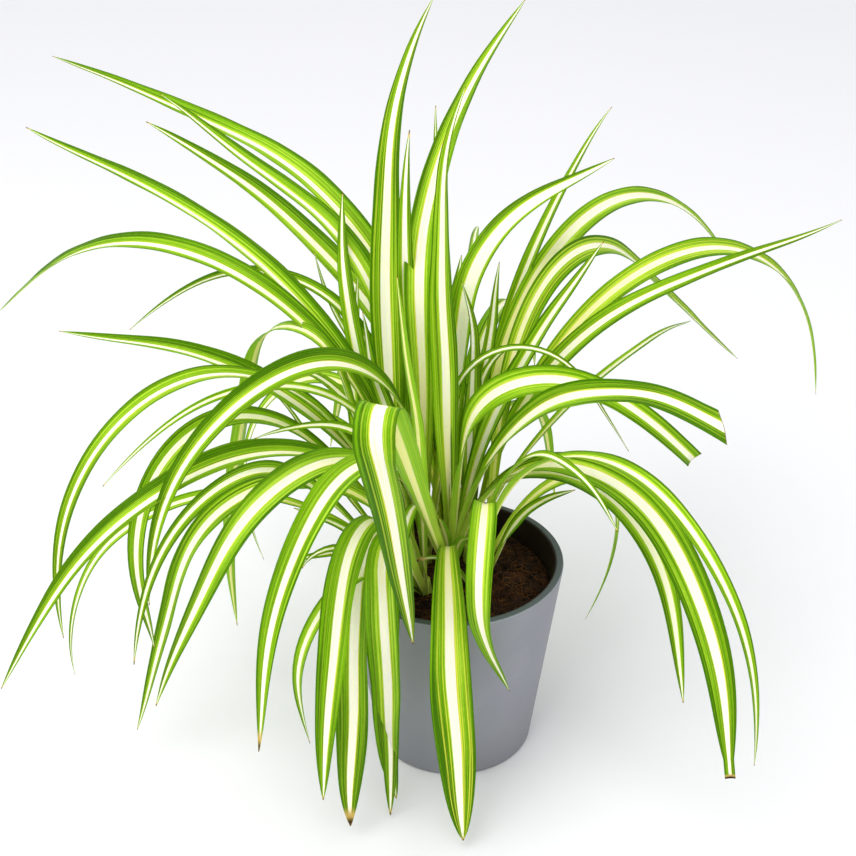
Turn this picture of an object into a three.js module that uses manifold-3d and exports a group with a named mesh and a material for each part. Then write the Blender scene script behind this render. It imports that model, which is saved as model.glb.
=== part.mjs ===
// A spider plant in a tapered matt pot: the pot, its compost, and eight rosettes of arching leaves.
// Millimetres, +Z up. The origin is at the middle of the pot's foot, on the surface that it
// stands on. The front of the plant faces -Y, and +X is to the right of someone who looks at it.

import * as THREE from 'three';
import { mergeVertices } from 'three/addons/utils/BufferGeometryUtils.js';
import Module from 'manifold-3d';

const wasm = await Module();
wasm.setup();

// Pot
const POT_HEIGHT = 125;
const RIM_RADIUS = 65;
const FOOT_RADIUS = 47;
const WALL = 5;
const FLOOR = 6;
const EDGE_ROUNDING = 1.2;
const FOOT_ROUNDING = 2.5;
const POT_SIDES = 48;

// Compost
const SOIL_HEIGHT = 112;
const SOIL_MOUND = 2;
const SOIL_FILLET = 4;

// Clearance between pieces that touch
const GAP = 0.3;

// Crowns: the short stems that the leaves grow from, which stand in holes in the compost
const CROWN_RADIUS = 6;
const CROWN_DEPTH = 16;
const CROWN_NECK = 5;
const CROWN_TOP = 12;
const CROWN_TIP_RADIUS = 2.5;
const CROWN_SIDES = 12;

// Leaf blades
const ROOT_HEIGHT = 4;
const STEEP_ROOT_RADIUS = 2.5;
const SLANTED_ROOT_RADIUS = 5.5;
const STEEP = 90;
const SLANTED = 45;
const HALF_THICKNESS = 0.45;
const TIP_WIDTH = 1.4;
const BASE_WIDTH_SHARE = 0.3;
const FOLD = 18;
const BASE_FOLD = 42;
const FOLD_STRETCH = 0.35;
const ROLL_STRETCH = 0.5;
const STEPS = 120;
const SEGMENT_LENGTH = 36;
const FEWEST_SEGMENTS = 5;
const MOST_SEGMENTS = 10;
const BEND_CROWDING = 0.9;

// One leaf. The heading is the compass angle that it leaves the crown at, counted from +X towards
// +Y, and the sway is how far the heading has turned at the tip. The rise is the angle above level
// at the root and the tip angle is the same at the other end, negative where the leaf hangs. The
// bend between them is centred at a share of the length and spreads over another share of it. The
// roll turns the blade about its own middle line, and the tier lifts the root up the crown. The
// fullness says how far out the leaf stays wide, the blunt share is the width left at the tip of a
// leaf that is cut off, and the shoulder is the share of the length where the leaf has its full
// width. Angles are in degrees and lengths in millimetres.
function leaf(
  heading, sway, rise, tipAngle, bend, spread, length, width,
  roll = 0, tier = 0, fullness = 3, blunt = 0, shoulder = 0.55,
) {
  return {
    heading, sway, rise, tipAngle, bend, spread, length, width, roll, tier, fullness, blunt, shoulder,
  };
}

// Rosettes: where each crown stands on the compost, and its leaves
const ROSETTES = [
  {
    name: 'rosette_heart',
    at: [-1, 2],
    leaves: [
      leaf(74, -80, 92, 65, 0.9, 0.6, 305, 20, 30),
      leaf(220, 45, 92, -5, 0.25, 1.1, 380, 19, -35, 12),
      leaf(237, 10, 68, -74, 0.55, 0.9, 335, 20, -10, 4),
      leaf(224, -25, 68, -32, 0.8, 0.85, 195, 8, -55),
      leaf(255, 5, 55, -114, 0.55, 0.1, 460, 23, -5, 0, 4, 0, 0.6),
      leaf(264, 20, 62, -70, 0.25, 0.4, 226, 27, 0, 4, 7, 0, 0.65),
      leaf(186, -10, 74, 82, 0.8, 0.1, 180, 14, -40),
      leaf(260, -30, 57, 82, 0.4, 0.2, 250, 9),
      leaf(22, 5, 86, 46, 0.45, 1.25, 220, 16, 15),
      leaf(78, 10, 84, -28, 0.55, 1.1, 290, 9),
      leaf(53, -80, 92, -56, 0.6, 0.55, 260, 6, 25),
      leaf(300, 70, 85, -50, 0.6, 0.7, 270, 18, 55, 0, 4, 0.7),
      leaf(326, -25, 92, -5, 0.5, 1.55, 300, 18, 50, 0, 4, 0.7),
      leaf(340, -55, 86, -64, 0.4, 1, 340, 20, 25, 0, 8, 0.3),
      leaf(355, -80, 92, -57, 0.4, 1.1, 275, 16, 20, 0, 4),
      leaf(285, 0, 70, 30, 0.6, 0.8, 60, 8, -40),
      leaf(250, 10, 78, 50, 0.6, 0.8, 60, 8),
    ],
  },
  {
    name: 'rosette_front_left',
    at: [-16, -17],
    leaves: [
      leaf(163, 45, 92, -72, 0.3, 0.85, 320, 18, -30),
      leaf(239, -25, 45, -97, 0.5, 0.75, 195, 11, -10, 4),
      leaf(203, -5, 45, -87, 0.85, 0.65, 90, 7, -35),
      leaf(233, 30, 61, -60, 0.4, 0.3, 255, 20, 5, 4, 5),
      leaf(223, 50, 70, -78, 0.3, 0.3, 260, 22, 0, 0, 7),
      leaf(253, -10, 56, -94, 0.35, 0.15, 285, 21, 0, 0, 7),
      leaf(247, 15, 62, -84, 0.3, 0.15, 255, 14, 0, 0, 6),
      leaf(252, 0, 89, -102, 0.5, 0.5, 165, 9, 10),
      leaf(211, 5, 87, -56, 0.45, 1.2, 360, 18, -20, 8),
      leaf(219, 25, 54, -116, 0.8, 1, 320, 12, -50, 4),
      leaf(198, 30, 60, -30, 0.5, 0.9, 34, 8, -15),
      leaf(232, -40, 50, -24, 0.5, 0.9, 28, 7, -15),
      leaf(180, -20, 50, 10, 0.6, 0.8, 90, 8, -20),
    ],
  },
  {
    name: 'rosette_left',
    at: [-22, -1],
    leaves: [
      leaf(166, -30, 92, 5, 0.4, 0.95, 405, 17, -5),
      leaf(183, -60, 83, -39, 0.45, 0.8, 475, 16, -25, 4),
      leaf(172, 15, 90, 13, 0.35, 1.25, 270, 18, -20, 4),
      leaf(173, 80, 72, -110, 0.65, 1.15, 385, 15, -10, 4),
      leaf(195, 30, 91, -34, 0.55, 1.15, 300, 7, -40),
      leaf(166, 30, 48, -104, 0.55, 1.35, 300, 9, -35),
      leaf(136, 15, 70, 8, 0.55, 0.45, 150, 10, -15),
      leaf(170, -20, 55, 10, 0.95, 0.35, 140, 6, -15),
      leaf(129, -80, 77, 53, 0.75, 0.2, 340, 23, -5, 0, 2.5),
      leaf(156, -70, 73, 40, 0.75, 0.15, 235, 14),
      leaf(133, -65, 42, 82, 0.7, 0.8, 185, 11),
      leaf(200, -110, 75, -75, 0.4, 0.2, 455, 15, 5),
      leaf(205, -10, 42, -10, 0.6, 0.8, 80, 8, -25),
      leaf(132, 0, 76, 50, 0.6, 0.8, 110, 10, -5),
    ],
  },
  {
    name: 'rosette_back_left',
    at: [-16, 16],
    leaves: [
      leaf(80, 5, 90, 45, 0.55, 1, 275, 9),
      leaf(19, 30, 82, 4, 0.65, 0.35, 310, 18, 20, 0, 3.5),
      leaf(230, -10, 92, -118, 0.65, 1.3, 380, 17, -45),
      leaf(122, 25, 78, 19, 0.5, 0.35, 350, 17, -10, 4),
      leaf(95, 50, 77, 11, 0.25, 0.25, 415, 19, -30),
      leaf(126, 70, 77, -39, 0.65, 0.75, 300, 10, -25),
      leaf(96, 55, 42, 81, 0.85, 0.55, 200, 7, -10),
      leaf(155, -80, 87, 62, 0.8, 0.15, 265, 14),
      leaf(125, -80, 91, 36, 0.5, 0.2, 370, 20, 0, 0, 3.5),
      leaf(178, 80, 56, -108, 0.6, 0.75, 345, 15, -30),
      leaf(100, 80, 69, -112, 0.45, 1.35, 350, 11, -50, 4),
      leaf(163, -35, 68, -70, 0.8, 0.85, 165, 10, -15),
    ],
  },
  {
    name: 'rosette_back',
    at: [-3, 27],
    leaves: [
      leaf(120, 35, 82, 10, 0.4, 0.6, 445, 18, -15, 0, 3.5),
      leaf(92, 0, 76, -66, 0.45, 0.9, 320, 15, 5),
      leaf(112, 5, 68, -72, 0.45, 0.9, 290, 14, 5),
      leaf(72, 0, 70, -62, 0.5, 0.9, 300, 15, -10),
      leaf(101, -5, 55, -84, 0.4, 0.9, 260, 13, 10),
      leaf(82, 0, 60, -78, 0.45, 0.8, 250, 14, 5),
      leaf(62, -5, 58, -80, 0.45, 0.9, 230, 12, -5),
      leaf(112, 0, 84, -20, 0.6, 0.9, 240, 12, -5),
      leaf(95, 0, 88, 40, 0.6, 0.9, 190, 11),
      leaf(84, 0, 80, 10, 0.6, 0.9, 190, 13, 0, 4),
    ],
  },
  {
    name: 'rosette_back_right',
    at: [10, 17],
    leaves: [
      leaf(86, -75, 62, 37, 1, 0.3, 280, 12, 15),
      leaf(64, -20, 92, -51, 0.45, 1.15, 440, 17, 35),
      leaf(55, 30, 86, 26, 0.6, 0.75, 185, 10, 0, 4),
      leaf(126, 80, 92, 79, 0.8, 0.4, 185, 15, -50),
      leaf(39, 0, 92, -96, 0.5, 1.5, 465, 17, 35, 4),
      leaf(15, 5, 82, 11, 0.4, 0.8, 325, 17, 30, 0, 1.8),
      leaf(61, -15, 86, -48, 0.9, 0.5, 145, 11),
      leaf(7, 65, 87, -35, 0.45, 1.5, 260, 7, 0, 4),
      leaf(95, 0, 80, 50, 0.6, 0.8, 130, 10),
    ],
  },
  {
    name: 'rosette_right',
    at: [19, 2],
    leaves: [
      leaf(66, -25, 79, -45, 0.4, 0.55, 455, 17, 40, 4),
      leaf(36, -5, 72, -116, 0.4, 1.05, 210, 11, 45, 4),
      leaf(330, 10, 70, 30, 0.6, 0.8, 90, 9, 45),
    ],
  },
  {
    name: 'rosette_front_right',
    at: [13, -13],
    leaves: [
      leaf(313, -25, 81, -9, 0.55, 0.9, 230, 8, 20),
      leaf(312, -10, 84, -117, 0.6, 1.4, 375, 13, 0, 4),
      leaf(287, -55, 74, -119, 0.45, 0.6, 260, 18, -10, 4, 2.4),
      leaf(220, 0, 62, 10, 0.6, 0.8, 60, 8),
    ],
  },
];

const radians = THREE.MathUtils.degToRad;
const mix = THREE.MathUtils.lerp;
const smooth = (value) => THREE.MathUtils.smoothstep(value, 0, 1);

// Solids: closed geometries become solids to join and cut, and come back as flat-shaded geometries
function toSolid(geometry) {
  const bare = geometry.clone();
  bare.deleteAttribute('normal');
  bare.deleteAttribute('uv');
  const merged = mergeVertices(bare);
  return new wasm.Manifold(new wasm.Mesh({
    numProp: 3,
    vertProperties: new Float32Array(merged.attributes.position.array),
    triVerts: new Uint32Array(merged.index.array),
  }));
}

function toGeometry(solid) {
  const mesh = solid.getMesh();
  const geometry = new THREE.BufferGeometry();
  geometry.setAttribute('position', new THREE.BufferAttribute(mesh.vertProperties, 3));
  geometry.setIndex(new THREE.BufferAttribute(mesh.triVerts, 1));
  geometry.computeVertexNormals();
  return geometry;
}

// A turned solid about the Z axis, from (radius, height) pairs that run up the outside
function turned(outline, sides) {
  const points = outline.map(([radius, height]) => new THREE.Vector2(radius, height));
  return new THREE.LatheGeometry(points, sides).rotateX(Math.PI / 2);
}

// The points of a quarter turn about (radius, height), from one angle to another
function corner(radius, height, rounding, fromAngle, toAngle, points = 3) {
  return Array.from({ length: points }, (_, index) => {
    const angle = radians(mix(fromAngle, toAngle, index / (points - 1)));
    return [radius + rounding * Math.cos(angle), height + rounding * Math.sin(angle)];
  });
}

// Inner radius of the pot at a height: the wall is as thick all the way up
function innerRadius(height) {
  return mix(FOOT_RADIUS, RIM_RADIUS, height / POT_HEIGHT) - WALL;
}

function potGeometry() {
  const rimInside = RIM_RADIUS - WALL;
  return turned([
    [0, 0],
    ...corner(FOOT_RADIUS - FOOT_ROUNDING, FOOT_ROUNDING, FOOT_ROUNDING, -90, 0),
    ...corner(RIM_RADIUS - EDGE_ROUNDING, POT_HEIGHT - EDGE_ROUNDING, EDGE_ROUNDING, 0, 90),
    ...corner(rimInside + EDGE_ROUNDING, POT_HEIGHT - EDGE_ROUNDING, EDGE_ROUNDING, 90, 180),
    [innerRadius(FLOOR), FLOOR],
    [0, FLOOR],
  ], POT_SIDES);
}

// Compost: it fills the pot to a low mound, and has a plain hole for each crown
function soilSolid() {
  const floor = FLOOR + GAP;
  const edge = SOIL_HEIGHT - SOIL_FILLET;
  let solid = toSolid(turned([
    [0, floor],
    [innerRadius(floor) - GAP, floor],
    [innerRadius(edge) - GAP, edge],
    [innerRadius(SOIL_HEIGHT) - GAP - SOIL_FILLET, SOIL_HEIGHT],
    [innerRadius(SOIL_HEIGHT) / 2, SOIL_HEIGHT + SOIL_MOUND * 0.75],
    [0, SOIL_HEIGHT + SOIL_MOUND],
  ], POT_SIDES));
  const hole = turned([
    [0, -CROWN_DEPTH - GAP],
    [CROWN_RADIUS + GAP, -CROWN_DEPTH - GAP],
    [CROWN_RADIUS + GAP, CROWN_TOP],
    [0, CROWN_TOP],
  ], CROWN_SIDES);
  for (const { at: [x, y] } of ROSETTES) {
    solid = solid.subtract(toSolid(hole.clone().translate(x, y, SOIL_HEIGHT)));
  }
  return solid;
}

// A leaf's pitch above level and its heading, in radians, at a share of its length
function pitch(leaf, share) {
  const bent = smooth((share - leaf.bend) / leaf.spread + 0.5);
  return radians(mix(leaf.rise, leaf.tipAngle, bent));
}

function heading(leaf, share) {
  return radians(leaf.heading + leaf.sway * share);
}

// Directions along, across and square to a leaf at a share of its length. The roll turns the last
// two about the first, and comes in over the first part of the length.
function directions(leaf, share) {
  const up = pitch(leaf, share);
  const round = heading(leaf, share);
  const outward = new THREE.Vector3(Math.cos(round), Math.sin(round), 0);
  const along = outward.clone().multiplyScalar(Math.cos(up)).setZ(Math.sin(up));
  const turn = radians(leaf.roll * smooth(share / ROLL_STRETCH));
  return {
    along,
    across: new THREE.Vector3(-Math.sin(round), Math.cos(round), 0).applyAxisAngle(along, turn),
    square: outward.clone().multiplyScalar(-Math.sin(up)).setZ(Math.cos(up))
      .applyAxisAngle(along, turn),
  };
}

// Where a leaf is rooted on its crown: steep leaves near the middle, slanted ones further out
function rootPoint(leaf) {
  const slant = THREE.MathUtils.clamp((STEEP - leaf.rise) / (STEEP - SLANTED), 0, 1);
  const radius = mix(STEEP_ROOT_RADIUS, SLANTED_ROOT_RADIUS, slant);
  const round = heading(leaf, 0);
  return new THREE.Vector3(
    radius * Math.cos(round),
    radius * Math.sin(round),
    ROOT_HEIGHT + leaf.tier,
  );
}

// Places along the middle of a leaf, closer together where it bends
function leafStations(leaf) {
  const point = rootPoint(leaf);
  const places = [{ share: 0, travel: 0, point: point.clone() }];
  let travel = 0;
  for (let step = 1; step <= STEPS; step += 1) {
    const share = step / STEPS;
    point.addScaledVector(directions(leaf, share - 0.5 / STEPS).along, leaf.length / STEPS);
    const turn = Math.abs(pitch(leaf, share) - pitch(leaf, share - 1 / STEPS)) / Math.PI;
    travel += 1 / STEPS + BEND_CROWDING * turn;
    places.push({ share, travel, point: point.clone() });
  }
  const wanted = Math.round(leaf.length / SEGMENT_LENGTH);
  const segments = THREE.MathUtils.clamp(wanted, FEWEST_SEGMENTS, MOST_SEGMENTS);
  return Array.from({ length: segments + 1 }, (_, index) => {
    const goal = (travel * index) / segments;
    return places.find((place) => place.travel >= goal - 1e-9);
  });
}

// Width of a leaf at a share of its length: drawn in at the root and tapered to the tip
function leafWidth(leaf, share) {
  const root = mix(BASE_WIDTH_SHARE, 1, smooth(share / leaf.shoulder));
  const taper = Math.max(Math.max(1 - share ** leaf.fullness, 0) ** 0.8, leaf.blunt);
  return Math.max(leaf.width * root * taper, TIP_WIDTH);
}

// The six corners of a leaf's section, a shallow channel: three on the upper face, three below
function leafSection(leaf, { share, point }) {
  const { across, square } = directions(leaf, share);
  const fold = radians(mix(BASE_FOLD, FOLD, smooth(share / FOLD_STRETCH)));
  const half = leafWidth(leaf, share) / 2;
  const corners = [[1, 1], [0, 1], [-1, 1], [-1, -1], [0, -1], [1, -1]];
  return corners.map(([side, face]) => point.clone()
    .addScaledVector(across, side * half * Math.cos(fold))
    .addScaledVector(square, Math.abs(side) * half * Math.sin(fold) + face * HALF_THICKNESS));
}

// A leaf blade: sections joined by faces that are split alike above and below, and both ends closed
function leafSolid(leaf) {
  const sections = leafStations(leaf).map((place) => leafSection(leaf, place));
  const positions = sections.flat().flatMap((vertex) => vertex.toArray());
  const last = (sections.length - 1) * 6;
  const index = [];
  for (let start = 0; start < last; start += 6) {
    for (let here = 0; here < 6; here += 1) {
      const next = (here + 1) % 6;
      const [a, b] = [start + here, start + next];
      const [c, d] = [a + 6, b + 6];
      index.push(...(here < 3 ? [a, b, d, a, d, c] : [a, b, c, b, d, c]));
    }
  }
  for (const [a, b, c] of [[0, 5, 1], [5, 4, 1], [4, 3, 1], [3, 2, 1]]) {
    index.push(a, b, c, last + a, last + c, last + b);
  }
  const geometry = new THREE.BufferGeometry();
  geometry.setAttribute('position', new THREE.Float32BufferAttribute(positions, 3));
  geometry.setIndex(index);
  return toSolid(geometry);
}

// A rosette: its crown and all its leaves as one body, without hollows or loose scraps
function rosetteSolid({ leaves }) {
  let solid = toSolid(turned([
    [0, -CROWN_DEPTH],
    [CROWN_RADIUS, -CROWN_DEPTH],
    [CROWN_RADIUS, CROWN_NECK],
    [CROWN_TIP_RADIUS, CROWN_TOP],
    [0, CROWN_TOP],
  ], CROWN_SIDES));
  for (const blade of leaves) {
    solid = solid.add(leafSolid(blade));
  }
  return solid.decompose().reduce((best, body) => (body.volume() > best.volume() ? body : best));
}

function piece(name, geometry, color, roughness) {
  const material = new THREE.MeshStandardMaterial({ color, roughness, metalness: 0 });
  const mesh = new THREE.Mesh(geometry, material);
  mesh.name = name;
  return mesh;
}

const plant = new THREE.Group();
plant.add(piece('pot', potGeometry(), 0x95979d, 0.8));
plant.add(piece('soil', toGeometry(soilSolid()), 0x2a1a10, 1));
for (const rosette of ROSETTES) {
  const mesh = piece(rosette.name, toGeometry(rosetteSolid(rosette)), 0x6f9440, 0.45);
  mesh.position.set(...rosette.at, SOIL_HEIGHT);
  plant.add(mesh);
}

export default plant;
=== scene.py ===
"""Looks of a spider plant in a tapered matt pot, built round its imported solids.

Every piece is worked out in millimetres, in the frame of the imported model: the origin is at the
middle of the pot's foot, +Z is up and the front faces -Y.
"""

import logging
import math
from collections.abc import Iterator, Sequence
from dataclasses import dataclass, field
from enum import Enum

import bpy
import numpy as np
from bpy.types import ID, Material, NodeSocket, Object
from mathutils import Matrix, Vector


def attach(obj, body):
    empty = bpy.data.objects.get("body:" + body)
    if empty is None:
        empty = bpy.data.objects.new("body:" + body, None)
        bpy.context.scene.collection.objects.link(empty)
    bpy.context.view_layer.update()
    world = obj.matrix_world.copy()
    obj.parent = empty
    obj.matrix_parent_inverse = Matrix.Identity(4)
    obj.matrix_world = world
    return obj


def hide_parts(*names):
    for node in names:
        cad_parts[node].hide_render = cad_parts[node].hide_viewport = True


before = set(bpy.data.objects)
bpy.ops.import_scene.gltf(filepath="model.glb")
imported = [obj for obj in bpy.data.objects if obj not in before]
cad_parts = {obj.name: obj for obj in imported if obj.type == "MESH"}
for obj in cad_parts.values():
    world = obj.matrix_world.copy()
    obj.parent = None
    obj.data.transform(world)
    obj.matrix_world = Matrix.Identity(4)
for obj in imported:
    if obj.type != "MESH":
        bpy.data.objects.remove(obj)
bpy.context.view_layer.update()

LOG = logging.getLogger("spider plant")
MM = 0.001
TURN = 2.0 * math.pi
AXIS = 0.02
BODY = "root"

# A shape is the points and faces of a mesh, and a marked one has its point attributes too.
Array = np.ndarray
Shape = tuple[Array, Array]
MarkedShape = tuple[Array, Array, dict[str, Array]]
Number = "Value | float"


def smooth(value: Array | float) -> Array:
    """Smooth step: 0 below 0, 1 above 1, and 3t squared less 2t cubed between."""
    clipped = np.clip(value, 0.0, 1.0)
    return clipped * clipped * (3.0 - 2.0 * clipped)


def mix(start: float, end: float, share: Array | float) -> Array | float:
    """Straight blend from start to end by a share."""
    return start + (end - start) * share


def packed(*parts: Array | float) -> Array:
    """Numbers side by side: three parts become points with x, y and z."""
    return np.stack(np.broadcast_arrays(*parts), -1)


# Shader maths


class Value:
    """A number in a material, on which Python's arithmetic adds Math nodes."""

    def __init__(self, graph: "Graph", socket: NodeSocket) -> None:
        """Keeps the graph that the socket belongs to."""
        self.graph = graph
        self.socket = socket

    def _math(self, operation: str, *others: Number) -> "Value":
        """Adds one Math node with this value first."""
        inputs = dict(enumerate((self, *others)))
        return self.graph.node("ShaderNodeMath", {"operation": operation}, inputs)

    def __add__(self, other: Number) -> "Value":
        """This plus other."""
        return self._math("ADD", other)

    def __sub__(self, other: Number) -> "Value":
        """This less other."""
        return self._math("SUBTRACT", other)

    def __mul__(self, other: Number) -> "Value":
        """This times other."""
        return self._math("MULTIPLY", other)

    def __abs__(self) -> "Value":
        """The size of this, without its sign."""
        return self._math("ABSOLUTE")

    def swing(self, size: float) -> "Value":
        """Noise of 0 to 1 as a swing about 0 that is as wide as the size."""
        return (self - 0.5) * size

    def step(self, start: float, end: float, low: float = 0.0, high: float = 1.0) -> "Value":
        """Smooth step of this value.

        Args:
            start: value where the step begins; it may lie above end.
            end: value where it is complete.
            low: result at start.
            high: result at end.

        Returns:
            The stepped value, held at low and high outside.
        """
        settings = {"interpolation_type": "SMOOTHSTEP"}
        if start > end:
            start, end, low, high = end, start, high, low
        inputs = {"Value": self, "From Min": start, "From Max": end, "To Min": low, "To Max": high}
        return self.graph.node("ShaderNodeMapRange", settings, inputs)

    def band(self, centre: float, half: float) -> "Value":
        """1 at centre, falling smoothly to 0 at half to either side."""
        return abs(self - centre).step(half, 0.0)


class Graph:
    """The node tree of one material, with its Principled shader."""

    def __init__(self, name: str) -> None:
        """Makes an empty material of that name."""
        self.material = bpy.data.materials.new(name)
        self.material.use_nodes = True
        self.tree = self.material.node_tree
        self.tree.nodes.clear()

    def node(
        self,
        kind: str,
        settings: dict | None = None,
        inputs: dict | None = None,
        output: int | str = 0,
    ) -> Value:
        """Adds a node.

        Args:
            kind: its type.
            settings: its own choices, set first.
            inputs: a number, colour or link for each named or numbered socket.
            output: which output to hand back.

        Returns:
            That output.
        """
        made = self.tree.nodes.new(kind)
        for key, choice in (settings or {}).items():
            setattr(made, key, choice)
        for key, given in (inputs or {}).items():
            if isinstance(given, Value):
                self.tree.links.new(given.socket, made.inputs[key])
            else:
                made.inputs[key].default_value = given
        return Value(self, made.outputs[output])

    def split(self, vector: Value) -> tuple[Value, Value, Value]:
        """The three numbers of a vector."""
        x, y, z = self.node("ShaderNodeSeparateXYZ", inputs={0: vector}).socket.node.outputs
        return Value(self, x), Value(self, y), Value(self, z)

    def attribute(self, name: str) -> tuple[Value, Value, Value]:
        """The three numbers of a point attribute of the piece."""
        read = self.node("ShaderNodeAttribute", {"attribute_name": name}, output="Vector")
        return self.split(read)

    def place(self) -> Value:
        """Object coordinates, in metres."""
        return self.node("ShaderNodeTexCoord", output="Object")

    def vector(self, x: Number, y: Number, z: Number) -> Value:
        """A vector from three numbers."""
        return self.node("ShaderNodeCombineXYZ", inputs={0: x, 1: y, 2: z})

    def noise(self, where: Value, scale: float, detail: float = 2.0, rough: float = 0.5) -> Value:
        """Noise of about 0 to 1 at a place, with that many bumps to a unit."""
        inputs = {"Vector": where, "Scale": scale, "Detail": detail, "Roughness": rough}
        return self.node("ShaderNodeTexNoise", inputs=inputs)

    def specks(self, where: Value, scale: float) -> Value:
        """Distance from the nearest of a scatter of points, in cells."""
        return self.node("ShaderNodeTexVoronoi", inputs={"Vector": where, "Scale": scale})

    def blend(self, share: Number, first: Value | tuple, second: Value | tuple) -> Value:
        """A colour that goes from the first to the second by a share."""
        settings = {"data_type": "RGBA"}
        inputs = {0: share, 6: first, 7: second}
        return self.node("ShaderNodeMix", settings, inputs, output=2)

    def layers(self, face: Value, *over: tuple[Value, tuple]) -> Value:
        """A colour with others laid over it in turn, each by its own share."""
        for share, tint in over:
            face = self.blend(share, face, tint)
        return face

    def bump(self, height: Value, depth: float, strength: float) -> Value:
        """A normal bent by a height of 0 to 1 that stands for a depth in millimetres."""
        inputs = {"Strength": strength, "Distance": depth * MM, "Height": height}
        return self.node("ShaderNodeBump", inputs=inputs, output="Normal")

    def finish(self, **inputs: Value | float | tuple) -> Material:
        """Adds the Principled shader.

        Args:
            inputs: its sockets, with underscores for spaces.

        Returns:
            The material.
        """
        named = {key.replace("_", " "): given for key, given in inputs.items()}
        shader = self.node("ShaderNodeBsdfPrincipled", inputs=named, output="BSDF")
        end = self.tree.nodes.new("ShaderNodeOutputMaterial")
        self.tree.links.new(shader.socket, end.inputs["Surface"])
        return self.material


def colour(red: int, green: int, blue: int) -> tuple[float, float, float, float]:
    """A colour as a screen shows it, each part 0 to 255, as the linear light that shaders take."""
    parts = np.array([red, green, blue]) / 255.0
    linear = np.where(parts <= 0.04045, parts / 12.92, ((parts + 0.055) / 1.055) ** 2.4)
    return (*(float(part) for part in linear), 1.0)


# Meshes


def placed(name: str, data: ID) -> Object:
    """A new object of that name and data, in the scene."""
    made = bpy.data.objects.new(name, data)
    bpy.context.scene.collection.objects.link(made)
    return made


@dataclass
class Surface:
    """Points, faces and point attributes of a mesh that is being put together."""

    points: list[Array] = field(default_factory=list)
    faces: list[Array] = field(default_factory=list)
    marks: dict[str, list[Array]] = field(default_factory=dict)
    count: int = 0

    def add(self, points: Array, faces: Array, **marks: Array) -> None:
        """Adds a closed shape.

        Args:
            points: N by 3, in millimetres.
            faces: M by 4 indices into the points.
            marks: N by 3 numbers for each named attribute.
        """
        self.points.append(points)
        self.faces.append(faces + self.count)
        for name, numbers in marks.items():
            self.marks.setdefault(name, []).append(numbers)
        self.count += len(points)

    def piece(self, name: str, material: Material) -> Object:
        """Makes the object, smooth shaded, and lets it ride on the body.

        Args:
            name: the piece's name.
            material: its finish.

        Returns:
            The object.
        """
        mesh = bpy.data.meshes.new(name)
        points = np.concatenate(self.points) * MM
        faces = np.concatenate(self.faces).astype(np.int32)
        mesh.vertices.add(len(points))
        mesh.vertices.foreach_set("co", points.astype(np.float32).ravel())
        mesh.loops.add(faces.size)
        mesh.loops.foreach_set("vertex_index", faces.ravel())
        mesh.polygons.add(len(faces))
        starts = np.arange(0, faces.size, 4, dtype=np.int32)
        mesh.polygons.foreach_set("loop_start", starts)
        mesh.polygons.foreach_set("use_smooth", np.ones(len(faces), bool))
        for key, numbers in self.marks.items():
            attribute = mesh.attributes.new(key, "FLOAT_VECTOR", "POINT")
            attribute.data.foreach_set("vector", np.concatenate(numbers).astype(np.float32).ravel())
        mesh.update(calc_edges=True)
        mesh.validate()
        mesh.materials.append(material)
        made = placed(name, mesh)
        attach(made, BODY)
        LOG.info("%s: %d faces", name, len(faces))
        return made


def grid_faces(rows: int, columns: int) -> Array:
    """Four-cornered faces of a tube of points, stored row by row.

    Args:
        rows: number of rows.
        columns: number of points in a row, which runs round and joins its own start.

    Returns:
        M by 4 indices. Seen from where rows go up and columns go right, they run anticlockwise.
    """
    row = np.arange(rows - 1)[:, None] * columns
    here = np.arange(columns)
    after = (here + 1) % columns
    corners = (row + here, row + after, row + columns + after, row + columns + here)
    return packed(*corners).reshape(-1, 4)


def turned(outline: Array, sides: int) -> Shape:
    """A turned surface: each outline point (radius, height) is carried round the Z axis.

    Args:
        outline: K by 2, from the axis underneath, up the outside and back to the axis.
        sides: points in each round.

    Returns:
        Points and faces. The two ends on the axis are rings of radius nearly 0.
    """
    angle = np.linspace(0.0, TURN, sides, endpoint=False)
    radius, height = outline[:, :1], outline[:, 1:]
    x = radius * np.cos(angle)
    y = radius * np.sin(angle)
    return packed(x, y, height).reshape(-1, 3), grid_faces(len(outline), sides)


def quarter(radius: float, height: float, rounding: float, start: float, end: float) -> Array:
    """Points of an arc about (radius, height), from one angle to another, in degrees."""
    angle = np.radians(np.linspace(start, end, 7))
    return packed(radius + rounding * np.cos(angle), height + rounding * np.sin(angle))


def ramped(corners: Sequence[tuple[float, float]], spacing: float) -> Array:
    """Points along straight lines between corners, no further apart than the spacing."""
    points = [np.array(corners[:1])]
    for start, end in zip(corners[:-1], corners[1:]):
        steps = max(1, math.ceil(math.dist(start, end) / spacing))
        share = np.arange(1, steps + 1)[:, None] / steps
        points.append(mix(np.array(start), np.array(end), share))
    return np.concatenate(points)


# Leaves


class Stripe(Enum):
    """How a leaf is striped: offset of the stripe, its width, and strength of the lines beside it.

    Where the strength is below 0, the gold line runs along the other margin of the stripe.
    """

    PLAIN = (0.02, 0.9, 0.3)
    WIDE = (0.0, 1.2, 0.3)
    BROAD = (-0.15, 1.7, 0.3)
    NARROW = (0.0, 0.65, 0.5)
    LEFT = (0.24, 0.8, -0.3)
    LINED = (0.04, 0.75, 0.9)
    VEINED = (0.08, 0.9, -0.5)


class Tip(Enum):
    """How a leaf ends: length of its brown tip in millimetres."""

    FRESH = 1.5
    DRY = 3.0
    BROWN = 7.0
    CUT = 0.15


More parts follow.
